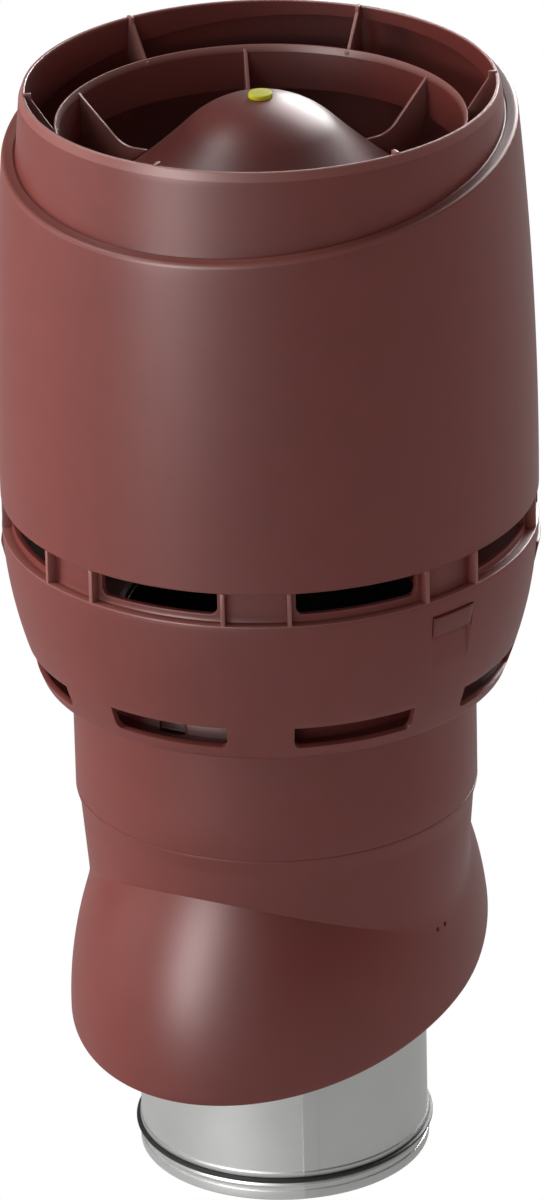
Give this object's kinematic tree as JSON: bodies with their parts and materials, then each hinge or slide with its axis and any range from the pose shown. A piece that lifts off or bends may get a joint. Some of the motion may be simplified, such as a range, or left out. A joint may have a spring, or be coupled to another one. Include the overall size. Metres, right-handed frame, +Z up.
{
  "type": "roof ventilation outlet",
  "caption": "Moulded roof ventilation outlet: slotted round hood with guide ring and bell, on a neck pipe with a bulged roof skirt round a steel duct spigot.",
  "frame": {"origin": "on the duct axis at the lower end of the steel spigot", "axes": "+Z up the duct axis, -Y to the downhill side of the roof, X along the roof"},
  "size_m": [0.2842, 0.2842, 0.6145],
  "materials": {
    "red_plastic": "satin moulded",
    "galvanised_steel": "galvanised",
    "seal_rubber": "matte",
    "insulation_foam": "moulded foam",
    "yellow_plastic": "satin"
  },
  "bodies": {
    "root": {"outer_pipe": "red_plastic", "pipe_cap": "red_plastic", "drip_bowl": "red_plastic", "hood_jacket": "red_plastic", "guide_ring": "red_plastic", "deflector_bell": "red_plastic", "steel_duct": "galvanised_steel", "duct_seal": "seal_rubber", "insulation_sleeve": "insulation_foam", "peak_plug": "yellow_plastic"}
  },
  "joints": []
}
